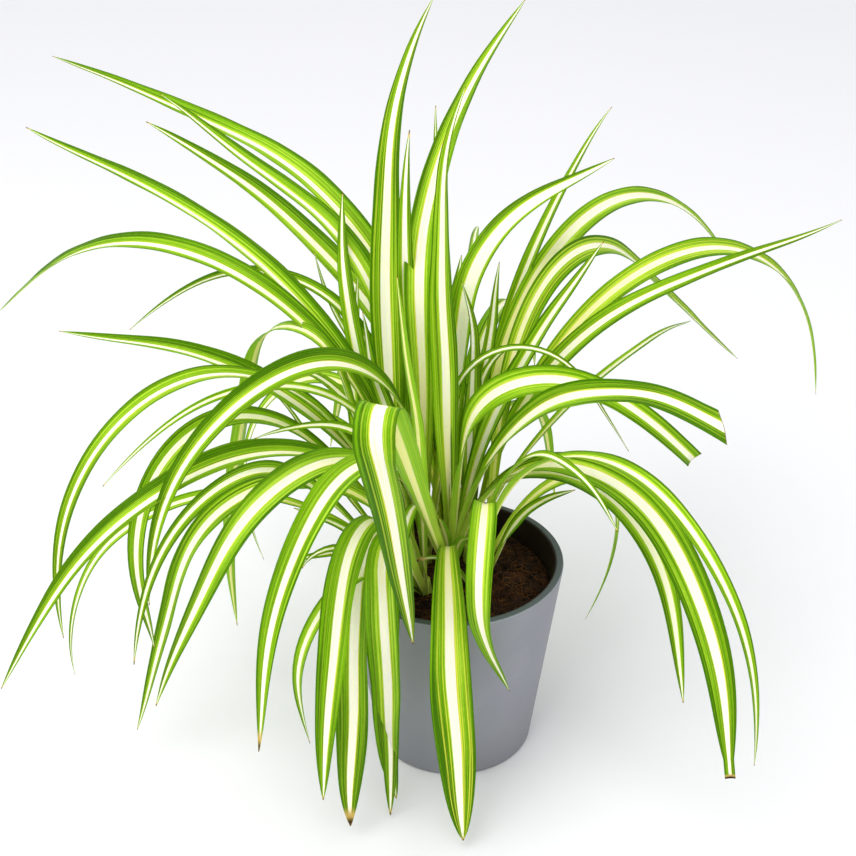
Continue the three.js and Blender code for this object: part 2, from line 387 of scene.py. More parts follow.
@dataclass(frozen=True)
class Leaf:
    """One leaf, with the same sizes as its solid.

    The heading is the angle that it leaves the crown at, from +X towards +Y, and the sway is how
    far the heading has turned at the tip. The rise is the angle above level at the root and the
    tip angle is the same at the other end. The bend between them is centred at a share of the
    length and spreads over another share. The roll turns the blade about its middle line, the tier
    lifts the root, and the fullness says how far out the leaf stays wide. Blunt is the share of
    the width left at a cut end, and the slant is how far the cut runs askew. The neck is the share
    of the width at the root, and the shoulder is the share of the length where the leaf has its
    full width. Degrees and millimetres.
    """

    heading: float
    sway: float
    rise: float
    tip_angle: float
    bend: float
    spread: float
    length: float
    width: float
    roll: float = 0.0
    tier: float = 0.0
    fullness: float = 3.0
    blunt: float = 0.0
    neck: float = 0.36
    shoulder: float = 0.55
    slant: float = 0.0
    stripe: Stripe = Stripe.PLAIN
    tip: Tip = Tip.FRESH


@dataclass(frozen=True)
class Ripple:
    """A gentle random curve: a sum of sines with random phases.

    The size is the most that it can reach, and the waves are how many whole waves each sine has.
    """

    size: float
    waves: tuple[float, ...]

    def curve(self, along: Array, rng: np.random.Generator) -> Array:
        """Works out the curve.

        Args:
            along: places from 0 to 1 over the whole stretch.
            rng: source of the phases.

        Returns:
            One value for each place.
        """
        count = np.array(self.waves)
        phases = rng.uniform(0.0, TURN, len(count))
        weights = 1.0 / np.arange(1, len(count) + 1)
        angle = TURN * np.multiply.outer(along, count) + phases
        return self.size * (np.sin(angle) * weights).sum(-1) / weights.sum()


@dataclass
class Blade:
    """The surface of one leaf, with the small unevenness of a real one.

    Share runs along the leaf: a little below 0 in the compost, 0 at the root and 1 at the tip.
    Inside is the share held at 0 and above. U runs across the leaf, from -1 to 1.
    """

    leaf: Leaf
    rng: np.random.Generator
    root_height: float = 4.0
    root_rises: tuple = (45.0, 90.0)
    root_radii: tuple = (5.5, 2.5)
    taper_power: float = 0.8
    tip_width: float = 0.5
    buried: float = 13.0
    fine_steps: int = 240
    spacing: float = 5.0
    fewest_stations: int = 24
    columns: int = 17
    crowding: float = 0.9
    thickness: float = 0.5
    margin_thickness: float = 0.22
    full_depth_half_width: float = 1.5
    keel: float = 0.35
    keel_width: float = 0.09
    fold: float = 20.0
    base_fold: float = 50.0
    fold_stretch: float = 0.35
    softness: float = 0.22
    crease: float = 30.0
    roll_stretch: float = 0.5
    longest_wander: float = 300.0
    wander: Ripple = Ripple(0.006, (1.3, 2.9))
    sag: Ripple = Ripple(0.004, (1.7, 3.7))
    twist: Ripple = Ripple(6.0, (0.8, 2.1))
    opening: Ripple = Ripple(0.25, (1.0, 2.3))
    ruffle: float = 0.07
    ruffle_length: float = 90.0
    ruffle_ratio: float = 2.3
    slant_stretch: float = 0.1
    stripe_share: float = 0.3
    stripe_root: float = 0.75
    stripe_stretch: float = 0.3
    stripe_width: Ripple = Ripple(0.08, (2.0, 5.0))
    stripe_drift: Ripple = Ripple(0.05, (1.0, 2.7))

    def __post_init__(self) -> None:
        """Sets the places along and across the leaf."""
        length = self.leaf.length
        stations = max(self.fewest_stations, round(length / self.spacing))
        self.share = np.linspace(-(self.buried + self.leaf.tier) / length, 1.0, stations)
        self.inside = np.clip(self.share, 0.0, 1.0)
        even = np.linspace(-1.0, 1.0, self.columns)
        self.u = np.sign(even) * np.abs(even) ** self.crowding
        self.around = np.concatenate([self.u, self.u[::-1]])

    def wave(self, ripple: Ripple) -> Array:
        """A ripple along this leaf."""
        return ripple.curve(self.inside, self.rng)

    def pitch(self, share: Array) -> Array:
        """Angle above level at a share of the length: a smooth step from rise to tip angle."""
        bent = smooth((share - self.leaf.bend) / self.leaf.spread + 0.5)
        return np.radians(mix(self.leaf.rise, self.leaf.tip_angle, bent))

    def heading(self, share: Array) -> Array:
        """Angle from +X towards +Y at a share of the length."""
        return np.radians(self.leaf.heading + self.leaf.sway * share)

    def course(self) -> Array:
        """Points of the leaf's middle line.

        The line is the running sum of short steps along (cos pitch cos heading,
        cos pitch sin heading, sin pitch). Below the root it runs straight back into the compost.

        Returns:
            N by 3, in millimetres from the crown's foot at the height of the compost.
        """
        leaf = self.leaf
        fine = np.linspace(0.0, 1.0, self.fine_steps + 1)
        middle = (fine[1:] + fine[:-1]) / 2.0
        pitch, heading = self.pitch(middle), self.heading(middle)
        level = np.cos(pitch)
        steps = packed(level * np.cos(heading), level * np.sin(heading), np.sin(pitch))
        line = np.concatenate([np.zeros((1, 3)), np.cumsum(steps, 0)]) * leaf.length / len(middle)
        points = packed(*(np.interp(self.share, fine, part) for part in line.T))
        points += np.minimum(self.share, 0.0)[:, None] * steps[0] * leaf.length
        radius = np.interp(leaf.rise, self.root_rises, self.root_radii)
        start = math.radians(leaf.heading)
        root = (radius * math.cos(start), radius * math.sin(start), self.root_height + leaf.tier)
        return points + np.array(root)

    def half_width(self) -> Array:
        """Half the width: drawn in at the root, and tapered as (1 less a power of the share)."""
        leaf = self.leaf
        root = mix(leaf.neck, 1.0, smooth(self.share / leaf.shoulder))
        taper = np.maximum(1.0 - self.inside**leaf.fullness, 0.0) ** self.taper_power
        return np.maximum(leaf.width * root * np.maximum(taper, leaf.blunt), self.tip_width) / 2.0

    def spine(self) -> tuple[Array, Array, Array]:
        """The middle line with its slow wander, and the two directions across it.

        Returns:
            Points of the line, the way to the side and the way out of the blade, each N by 3. The
            side is level and square to the heading until the roll turns both.
        """
        leaf, inside = self.leaf, self.inside
        pitch, heading = self.pitch(inside), self.heading(inside)
        side = packed(-np.sin(heading), np.cos(heading), 0.0)
        sink = -np.sin(pitch)
        square = packed(sink * np.cos(heading), sink * np.sin(heading), np.cos(pitch))
        reach = inside * min(leaf.length, self.longest_wander)
        centre = self.course() + side * (self.wave(self.wander) * reach)[:, None]
        centre += square * (self.wave(self.sag) * reach)[:, None]
        roll = leaf.roll * smooth(inside / self.roll_stretch)
        turn = np.radians(roll + self.wave(self.twist) * inside)[:, None]
        turned_side = side * np.cos(turn) + square * np.sin(turn)
        return centre, turned_side, square * np.cos(turn) - side * np.sin(turn)

    def section(self) -> tuple[Array, Array, Array]:
        """A rounded channel at each place along the leaf.

        It rises by the half width times the sine of the fold times a softened |u|. It opens where
        the leaf bends sharply, its margins ripple, and a keel lies under its middle.

        Returns:
            How far out and up the upper face lies and how thick the leaf is, N by columns.
        """
        u, inside, soft = self.u, self.inside, self.softness
        half = self.half_width()[:, None]
        fold = np.radians(mix(self.base_fold, self.fold, smooth(inside / self.fold_stretch)))
        fold = fold * (1.0 + self.wave(self.opening))
        bending = np.abs(np.gradient(self.pitch(inside))) / (self.leaf.length / len(inside))
        fold = (fold / (1.0 + (self.crease * bending) ** 2))[:, None]
        channel = (np.sqrt(u * u + soft**2) - soft) / (math.hypot(1.0, soft) - soft)
        waves = self.leaf.length / self.ruffle_length
        ruffle = Ripple(self.ruffle, (waves, self.ruffle_ratio * waves))
        left, right = self.wave(ruffle)[:, None], self.wave(ruffle)[:, None]
        margin = np.where(u < 0.0, left, right) * np.abs(u) ** 3 * half
        thin = mix(self.thickness, self.margin_thickness, u * u)
        keel = self.keel * np.exp(-((u / self.keel_width) ** 2)) * (1.0 - inside[:, None] ** 2)
        depth = (thin + keel) * np.minimum(1.0, half / self.full_depth_half_width)
        return half * np.cos(fold) * u, half * np.sin(fold) * channel + margin, depth

    def faces(self) -> Array:
        """Faces of the tube that the sections make, closed at both ends."""
        stations, columns = len(self.share), len(self.around)
        tube = grid_faces(stations, columns)
        here = np.arange(self.columns - 1)
        cap = packed(here, columns - 1 - here, columns - 2 - here, here + 1)
        return np.concatenate([tube[:, ::-1], cap[:, ::-1], cap + (stations - 1) * columns])

    def marks(self) -> dict[str, Array]:
        """The attributes that the finish reads.

        Blade holds u, the millimetres from the root and the leaf's own shade. Stripe holds u from
        the middle of the stripe, half its width and the strength of the lines. Kind holds 1 on the
        lower face, the distance from the tip in lengths of the dry part, and the share.

        Returns:
            Three numbers for each point, by the name of the attribute.
        """
        shift, widen, lines = self.leaf.stripe.value
        grown = mix(self.stripe_root, 1.0, smooth(self.inside / self.stripe_stretch))
        band = self.stripe_share * widen * grown * (1.0 + self.wave(self.stripe_width))
        drift = shift + self.wave(self.stripe_drift)
        along = np.maximum(self.share, 0.0) * self.leaf.length
        from_tip = (1.0 - self.share) * self.leaf.length / self.leaf.tip.value
        back = np.repeat([0.0, 1.0], self.columns)
        marks = {
            "blade": packed(self.around, along[:, None], self.rng.uniform()),
            "stripe": packed(self.around - drift[:, None], band[:, None], lines),
            "kind": packed(back, from_tip[:, None], self.share[:, None]),
        }
        return {name: numbers.reshape(-1, 3) for name, numbers in marks.items()}

    def shape(self) -> MarkedShape:
        """The closed surface of the leaf: its sections carried along its middle line.

        Returns:
            Points, faces, and the attributes blade, stripe and kind.
        """
        centre, side, square = self.spine()
        out, lift, depth = self.section()
        top = centre[:, None] + side[:, None] * out[..., None] + square[:, None] * lift[..., None]
        bottom = top - square[:, None] * depth[..., None]
        ring = np.concatenate([top, bottom[:, ::-1]], 1)
        ending = smooth((self.share - 1.0 + self.slant_stretch) / self.slant_stretch)
        slope = self.leaf.slant * ending[:, None] * self.around
        ring += np.cross(side, square)[:, None] * slope[..., None]
        return ring.reshape(-1, 3), self.faces(), self.marks()


@dataclass(frozen=True)
class Bands:
    """Noise drawn out along a leaf, so that its spots become bands.

    Across and along say how fast it changes, for each half width and for each millimetre. Tone is
    how much it darkens and lightens the green.
    """

    across: float
    along: float
    tone: float
    detail: float = 2.0
    rough: float = 0.6


@dataclass(frozen=True)
class LeafFinish:
    """Green leaf with a cream stripe, fine lengthwise bands, a pale base and a dry tip, with
    painted shade at the root and on the outer half, and a stripe that whitens further out partly as
    painted light.

    A line has a distance from the stripe, a half width, a waviness and a strength, and a gold
    edge has the first two. A fade has the start and the end of a smooth step, and its values
    there where they aren't 0 and 1.
    """

    deep_green: tuple = colour(58, 104, 2)
    mid_green: tuple = colour(118, 168, 14)
    bright_green: tuple = colour(184, 218, 66)
    back_green: tuple = colour(148, 194, 52)
    line: tuple = colour(222, 228, 76)
    gold: tuple = colour(206, 190, 30)
    cream: tuple = colour(252, 246, 172)
    white: tuple = colour(255, 253, 226)
    base: tuple = colour(214, 230, 96)
    # painted shade: darker olive for the leaf bases and the crown near the compost, where they
    # crowd together in shade
    root: tuple = colour(104, 116, 36)
    dry: tuple = colour(196, 164, 96)
    brown: tuple = colour(62, 40, 26)
    patches: Bands = Bands(1.2, 0.014, 0.9, 3.0, 0.5)
    streaks: Bands = Bands(7.0, 0.003, 1.9)
    veining: Bands = Bands(28.0, 0.004, 1.4)
    graining: Bands = Bands(20.0, 0.35, 0.3)
    seed_spread: float = 40.0
    ragged: float = 0.1
    stripe_tone: float = 0.23
    edge_tone: float = 0.8
    shade_tone: float = 0.3
    margin_fade: tuple = (0.7, 1.0, 0.0, 0.2)
    # painted shade: the outer half of each leaf, which hangs below the light, is darkened toward
    # the deep green
    end_shade_fade: tuple = (0.5, 1.0, 0.0, 0.3)
    mid_fade: tuple = (0.0, 0.45)
    deep_fade: tuple = (0.45, 1.05)
    lines: tuple = ((0.16, 0.04, 0.1, 1.0), (0.42, 0.06, 0.16, 0.8))
    hair_fade: tuple = (0.6, 0.7, 0.0, 0.7)
    gold_fade: tuple = (-0.004, 0.004, 0.35, 1.0)
    gold_edge: tuple = (0.035, 0.05)
    gold_core: tuple = (0.012, 0.03)
    # partly painted light: how the stripe whitens from cream further along the leaf, where it
    # arches into the light; the cream near the root is partly the stripe's own colour
    light_fade: tuple = (0.1, 0.6)
    light_streaks: float = 1.2
    light_shade: float = 0.4
    white_fade: tuple = (0.1, 0.9)
    thread_fade: tuple = (0.56, 0.66, 0.0, 0.35)
    stripe_fade: tuple = (0.014, -0.014)
    under_paleness: float = 0.6
    under_fade: tuple = (0.05, -0.05, 0.0, 0.85)
    base_fade: tuple = (0.3, 0.02, 0.0, 0.5)
    # painted shade near the root, from 16 mm down to 2 mm from it
    root_shade_fade: tuple = (16.0, 2.0, 0.0, 0.7)
    dry_fade: tuple = (1.9, 0.9)
    brown_fade: tuple = (1.0, 0.4)
    matt_fade: tuple = (0.0, 1.0, 0.4, 0.5)
    relief: float = 0.3

    def material(self) -> Material:
        """Builds the material from the attributes blade, stripe and kind.

        Returns:
            The material.
        """
        graph = Graph("variegated leaf")
        across, along, shade = graph.attribute("blade")
        place, band, lines = graph.attribute("stripe")
        back, tip, share = graph.attribute("kind")
        bands = (self.patches, self.streaks, self.veining, self.graining)
        noises = []
        seed = shade * self.seed_spread
        for kind in bands:
            where = graph.vector(across * kind.across, along * kind.along, seed)
            noises.append(graph.noise(where, 1.0, kind.detail, kind.rough))
        _, streak, veins, _ = noises
        edge = abs(place) - band + streak.swing(self.ragged)
        tone = edge * self.edge_tone + shade.swing(self.shade_tone) + self.stripe_tone
        for kind, noise in zip(bands, noises):
            tone = tone + noise.swing(kind.tone)
        # the margins darken as the leaf's own green; the outer half darkens as painted shade
        tone = tone + abs(across).step(*self.margin_fade) + share.step(*self.end_shade_fade)
        strength = abs(lines)
        beside = [
            (edge + veins.swing(waviness)).band(distance, half) * strength * share_of_line
            for distance, half, waviness, share_of_line in self.lines
        ]
        golden = (place * lines).step(*self.gold_fade)
        green = graph.layers(
            graph.blend(tone.step(*self.mid_fade), self.bright_green, self.mid_green),
            (tone.step(*self.deep_fade), self.deep_green),
            *((line, self.line) for line in beside),
            (veins.step(*self.hair_fade) * strength, self.line),
            (edge.band(*self.gold_edge) * golden, self.line),
            (edge.band(*self.gold_core) * golden * golden, self.gold),
        )
        # partly painted light: cream near the root, white further out where the leaves arch into
        # the light
        lit = share.step(*self.light_fade)
        lit = lit + streak.swing(self.light_streaks) + shade.swing(self.light_shade)
        milk = graph.layers(
            graph.blend(lit.step(*self.white_fade), self.cream, self.white),
            (((veins + streak) * 0.5).step(*self.thread_fade), self.line),
        )
        top = graph.blend(edge.step(*self.stripe_fade), green, milk)
        under = graph.layers(
            graph.blend(self.under_paleness, green, self.back_green),
            (edge.step(*self.under_fade), self.cream),
        )
        skin = graph.layers(
            graph.blend(back, top, under),
            (share.step(*self.base_fade), self.base),
            # painted shade over the bases near the root
            (along.step(*self.root_shade_fade), self.root),
            (tip.step(*self.dry_fade), self.dry),
            (tip.step(*self.brown_fade), self.brown),
        )
        return graph.finish(
            Base_Color=skin,
            Roughness=tone.step(*self.matt_fade) + veins.swing(0.1),
            Normal=graph.bump(veins * 0.6 + streak * 0.4, self.relief, 0.5),
            Subsurface_Weight=0.45,
            Subsurface_Radius=(0.8, 1.0, 0.2),
            Subsurface_Scale=0.0015,
            Specular_IOR_Level=0.12,
            Specular_Tint=(1.0, 0.95, 0.4, 1.0),
        )


@dataclass
class Rosette:
    """A crown and the leaves that grow from it."""

    node: str
    name: str
    at: tuple[float, float]
    seed: int
    leaves: list[Leaf]
    outline: tuple = ((0.01, -16), (4, -16), (4, 2), (3.4, 5), (2.5, 12), (0.01, 12))
    spacing: float = 2.0
    sides: int = 24

    def crown(self) -> MarkedShape:
        """The short stem under the leaves: a turned peg with a rounded shoulder."""
        points, faces = turned(ramped(self.outline, self.spacing), self.sides)
        across = np.sin(3.0 * np.arctan2(points[:, 1], points[:, 0]))
        # The crown takes the painted shade at the root, half the pale base and no dry tip.
        marks = {
            "blade": packed(across, points[:, 2], 0.5),
            "stripe": packed(across, 0.2, 0.0),
            "kind": packed(0.0 * across, 60.0, 0.0),
        }
        return points, faces, marks

    def build(self, soil_height: float, material: Material) -> None:
        """Builds the rosette as one piece in place of its solid.

        Args:
            soil_height: height of the compost that the crown stands in.
            material: the leaf's finish.
        """
        surface = Surface()
        foot = np.array([*self.at, soil_height])
        shapes = [self.crown()]
        for number, leaf in enumerate(self.leaves):
            shapes.append(Blade(leaf, np.random.default_rng([self.seed, number])).shape())
        for points, faces, marks in shapes:
            surface.add(points + foot, faces, **marks)
        made = surface.piece(self.name, material)
        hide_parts(self.node)


def rosettes() -> Iterator[Rosette]:
    """The eight rosettes, each with its place on the compost and its leaves."""
    lined, wide, narrow = Stripe.LINED, Stripe.WIDE, Stripe.NARROW
    left, broad, veined = Stripe.LEFT, Stripe.BROAD, Stripe.VEINED
    dry, brown, cut = Tip.DRY, Tip.BROWN, Tip.CUT
    yield Rosette("rosette_heart", "leaves_heart", (-1, 2), 11, [
        Leaf(74, -80, 92, 65, 0.9, 0.6, 305, 20, 30, stripe=veined),
        Leaf(220, 45, 92, -5, 0.25, 1.1, 380, 19, -35, 12),
        Leaf(237, 10, 68, -74, 0.55, 0.9, 335, 20, -10, 4, tip=brown),
        Leaf(224, -25, 68, -32, 0.8, 0.85, 195, 8, -55),
        Leaf(255, 5, 55, -114, 0.55, 0.1, 460, 23, -5,
             fullness=4, shoulder=0.6, neck=0.3, stripe=veined, tip=dry),
        Leaf(264, 20, 62, -70, 0.25, 0.4, 226, 27, 0, 4,
             fullness=7, shoulder=0.65, neck=0.2, stripe=lined),
        Leaf(186, -10, 74, 82, 0.8, 0.1, 180, 14, -40),
        Leaf(260, -30, 57, 82, 0.4, 0.2, 250, 9),
        Leaf(22, 5, 86, 46, 0.45, 1.25, 220, 16, 15),
        Leaf(78, 10, 84, -28, 0.55, 1.1, 290, 9),
        Leaf(53, -80, 92, -56, 0.6, 0.55, 260, 6, 25),
        Leaf(300, 70, 85, -50, 0.6, 0.7, 270, 18, 55, fullness=4, blunt=0.7, slant=2, tip=cut),
        Leaf(326, -25, 92, -5, 0.5, 1.55, 300, 18, 50,
             fullness=4, blunt=0.7, slant=-9, tip=cut),
        Leaf(340, -55, 86, -64, 0.4, 1, 340, 20, 25, fullness=8, blunt=0.3),
        Leaf(355, -80, 92, -57, 0.4, 1.1, 275, 16, 20, fullness=4),
        Leaf(285, 0, 70, 30, 0.6, 0.8, 60, 8, -40, stripe=narrow),
        Leaf(250, 10, 78, 50, 0.6, 0.8, 60, 8, stripe=wide),
    ])
    yield Rosette("rosette_front_left", "leaves_front_left", (-16, -17), 12, [
        Leaf(163, 45, 92, -72, 0.3, 0.85, 320, 18, -30),
        Leaf(239, -25, 45, -97, 0.5, 0.75, 195, 11, -10, 4, tip=dry),
        Leaf(203, -5, 45, -87, 0.85, 0.65, 90, 7, -35),
        Leaf(233, 30, 61, -60, 0.4, 0.3, 255, 20, 5, 4, fullness=5),
        Leaf(223, 50, 70, -78, 0.3, 0.3, 260, 22, fullness=7, tip=brown),
        Leaf(253, -10, 56, -94, 0.35, 0.15, 285, 21, fullness=7),
        Leaf(247, 15, 62, -84, 0.3, 0.15, 255, 14, fullness=6, tip=dry),
        Leaf(252, 0, 89, -102, 0.5, 0.5, 165, 9, 10),
        Leaf(211, 5, 87, -56, 0.45, 1.2, 360, 18, -20, 8, stripe=left),
        Leaf(219, 25, 54, -116, 0.8, 1, 320, 12, -50, 4, tip=dry),
        Leaf(198, 30, 60, -30, 0.5, 0.9, 34, 8, -15, stripe=wide),
        Leaf(232, -40, 50, -24, 0.5, 0.9, 28, 7, -15, stripe=wide, tip=brown),
        Leaf(180, -20, 50, 10, 0.6, 0.8, 90, 8, -20),
    ])
    yield Rosette("rosette_left", "leaves_left", (-22, -1), 13, [
        Leaf(166, -30, 92, 5, 0.4, 0.95, 405, 17, -5, stripe=left, tip=dry),
        Leaf(183, -60, 83, -39, 0.45, 0.8, 475, 16, -25, 4, stripe=left),
        Leaf(172, 15, 90, 13, 0.35, 1.25, 270, 18, -20, 4, stripe=left),
        Leaf(173, 80, 72, -110, 0.65, 1.15, 385, 15, -10, 4, stripe=narrow),
        Leaf(195, 30, 91, -34, 0.55, 1.15, 300, 7, -40),
        Leaf(166, 30, 48, -104, 0.55, 1.35, 300, 9, -35),
        Leaf(136, 15, 70, 8, 0.55, 0.45, 150, 10, -15),
        Leaf(170, -20, 55, 10, 0.95, 0.35, 140, 6, -15),
        Leaf(129, -80, 77, 53, 0.75, 0.2, 340, 23, -5, fullness=2.5, stripe=veined),
        Leaf(156, -70, 73, 40, 0.75, 0.15, 235, 14),
        Leaf(133, -65, 42, 82, 0.7, 0.8, 185, 11),
        Leaf(200, -110, 75, -75, 0.4, 0.2, 455, 15, 5, tip=dry),
        Leaf(205, -10, 42, -10, 0.6, 0.8, 80, 8, -25),
        Leaf(132, 0, 76, 50, 0.6, 0.8, 110, 10, -5),
    ])
    yield Rosette("rosette_back_left", "leaves_back_left", (-16, 16), 14, [
        Leaf(80, 5, 90, 45, 0.55, 1, 275, 9),
        Leaf(19, 30, 82, 4, 0.65, 0.35, 310, 18, 20, fullness=3.5, stripe=broad),
        Leaf(230, -10, 92, -118, 0.65, 1.3, 380, 17, -45, stripe=left),
        Leaf(122, 25, 78, 19, 0.5, 0.35, 350, 17, -10, 4, stripe=left),
        Leaf(95, 50, 77, 11, 0.25, 0.25, 415, 19, -30, stripe=left, tip=dry),
        Leaf(126, 70, 77, -39, 0.65, 0.75, 300, 10, -25, stripe=left),
        Leaf(96, 55, 42, 81, 0.85, 0.55, 200, 7, -10),
        Leaf(155, -80, 87, 62, 0.8, 0.15, 265, 14, stripe=wide, tip=dry),
        Leaf(125, -80, 91, 36, 0.5, 0.2, 370, 20, fullness=3.5),
        Leaf(178, 80, 56, -108, 0.6, 0.75, 345, 15, -30),
        Leaf(100, 80, 69, -112, 0.45, 1.35, 350, 11, -50, 4, tip=dry),
        Leaf(163, -35, 68, -70, 0.8, 0.85, 165, 10, -15),
    ])
    yield Rosette("rosette_back", "leaves_back", (-3, 27), 15, [
        Leaf(120, 35, 82, 10, 0.4, 0.6, 445, 18, -15, fullness=3.5, stripe=left),
        Leaf(92, 0, 76, -66, 0.45, 0.9, 320, 15, 5),
        Leaf(112, 5, 68, -72, 0.45, 0.9, 290, 14, 5),
        Leaf(72, 0, 70, -62, 0.5, 0.9, 300, 15, -10, tip=dry),
        Leaf(101, -5, 55, -84, 0.4, 0.9, 260, 13, 10),
        Leaf(82, 0, 60, -78, 0.45, 0.8, 250, 14, 5, stripe=wide),
        Leaf(62, -5, 58, -80, 0.45, 0.9, 230, 12, -5),
        Leaf(112, 0, 84, -20, 0.6, 0.9, 240, 12, -5),
        Leaf(95, 0, 88, 40, 0.6, 0.9, 190, 11),
        Leaf(84, 0, 80, 10, 0.6, 0.9, 190, 13, 0, 4),
    ])
    yield Rosette("rosette_back_right", "leaves_back_right", (10, 17), 16, [
        Leaf(86, -75, 62, 37, 1, 0.3, 280, 12, 15),
        Leaf(64, -20, 92, -51, 0.45, 1.15, 440, 17, 35, stripe=wide),
        Leaf(55, 30, 86, 26, 0.6, 0.75, 185, 10, 0, 4),
        Leaf(126, 80, 92, 79, 0.8, 0.4, 185, 15, -50),
        Leaf(39, 0, 92, -96, 0.5, 1.5, 465, 17, 35, 4, stripe=lined, tip=dry),
        Leaf(15, 5, 82, 11, 0.4, 0.8, 325, 17, 30, fullness=1.8),
        Leaf(61, -15, 86, -48, 0.9, 0.5, 145, 11),
        Leaf(7, 65, 87, -35, 0.45, 1.5, 260, 7, 0, 4),
        Leaf(95, 0, 80, 50, 0.6, 0.8, 130, 10),
    ])
    yield Rosette("rosette_right", "leaves_right", (19, 2), 17, [
        Leaf(66, -25, 79, -45, 0.4, 0.55, 455, 17, 40, 4, stripe=lined),
        Leaf(36, -5, 72, -116, 0.4, 1.05, 210, 11, 45, 4, tip=dry),
        Leaf(330, 10, 70, 30, 0.6, 0.8, 90, 9, 45),
    ])
    yield Rosette("rosette_front_right", "leaves_front_right", (13, -13), 18, [
        Leaf(313, -25, 81, -9, 0.55, 0.9, 230, 8, 20),
        Leaf(312, -10, 84, -117, 0.6, 1.4, 375, 13, 0, 4),
        Leaf(287, -55, 74, -119, 0.45, 0.6, 260, 18, -10, 4, fullness=2.4, neck=0.26),
        Leaf(220, 0, 62, 10, 0.6, 0.8, 60, 8, stripe=wide, tip=brown),
    ])


# Pot


@dataclass(frozen=True)
class PotFinish:
    """Matt grey glaze with painted shade toward the foot, darker on the flat of the rim, and nearly
    black inside from soil stain and painted shade.

    Heights and radii are in metres, as object coordinates are. A fade has the start and the end
    of a smooth step, and its values there where they aren't 0 and 1.
    """

    body: tuple = colour(140, 142, 150)
    cloud: tuple = colour(147, 149, 156)
    # painted shade toward the foot; the same grey also colours the dust specks
    foot: tuple = colour(130, 132, 138)
    rim: tuple = colour(76, 86, 88)
    edge: tuple = colour(150, 156, 160)
    # soil stain and painted shade on the inside of the wall
    inside: tuple = colour(30, 18, 9)
    pit: tuple = colour(84, 88, 92)
    cloud_scale: float = 28.0
    grain_scale: float = 900.0
    pit_scale: float = 210.0
    pitted_scale: float = 60.0
    cloud_fade: tuple = (0.35, 0.68)
    foot_shade_sway: float = 0.03
    foot_shade_fade: tuple = (0.07, 0.0)
    pitted_fade: tuple = (0.56, 0.62)
    pit_fade: tuple = (0.09, 0.05, 0.0, 0.6)
    dust: float = 0.1
    dust_swing: float = 0.25
    flat_fade: tuple = (-0.0009, -0.0003, 0.0, 0.95)
    pale_edge_band: tuple = (-0.0008, 0.0007)
    pale_edge_radius: tuple = (0.063, 0.064)
    pale_edge_grain: tuple = (0.3, 0.5)
    inside_stain_and_shade_fade: tuple = (0.0016, 0.0008)
    matt_fade: tuple = (0.3, 0.7, 0.58, 0.7)
    relief: float = 0.12

    def material(self, pot: "Pot") -> Material:
        """Builds the material.

        Args:
            pot: the sizes of the pot, which say where the rim and the inside are.

        Returns:
            The material.
        """
        graph = Graph("matt grey pot")
        where = graph.place()
        clouds = graph.noise(where, self.cloud_scale, 4.0, 0.6)
        grain = graph.noise(where, self.grain_scale, 3.0, 0.6)
        x, y, height = graph.split(where)
        level = graph.vector(x, y, 0.0)
        length = {"operation": "LENGTH"}
        radius = graph.node("ShaderNodeVectorMath", length, {0: level}, "Value")
        # painted shade: darker toward the foot, below 70 mm, with a cloudy edge
        low = (height + clouds.swing(self.foot_shade_sway)).step(*self.foot_shade_fade)
        pitted = graph.noise(where, self.pitted_scale).step(*self.pitted_fade)
        pits = graph.specks(where, self.pit_scale).step(*self.pit_fade) * pitted
        from_top = height - pot.height * MM
        # a paler, grainy band round the outer edge of the rim
        pale_rim_edge = from_top.band(*self.pale_edge_band) * radius.step(*self.pale_edge_radius)
        wall = radius - height * pot.taper() - pot.inner_radius(0.0) * MM
        face = graph.layers(
            graph.blend(clouds.step(*self.cloud_fade), self.body, self.cloud),
            (low, self.foot),
            (pits, self.pit),
            (grain.swing(self.dust_swing) + self.dust, self.foot),
            (from_top.step(*self.flat_fade), self.rim),
            (pale_rim_edge * grain.step(*self.pale_edge_grain), self.edge),
            # inside the wall: soil stain and painted shade
            (wall.step(*self.inside_stain_and_shade_fade), self.inside),
        )
        return graph.finish(
            Base_Color=face,
            Roughness=clouds.step(*self.matt_fade),
            Normal=graph.bump(grain * 0.5 - pits, self.relief, 0.5),
            Specular_IOR_Level=0.35,
        )


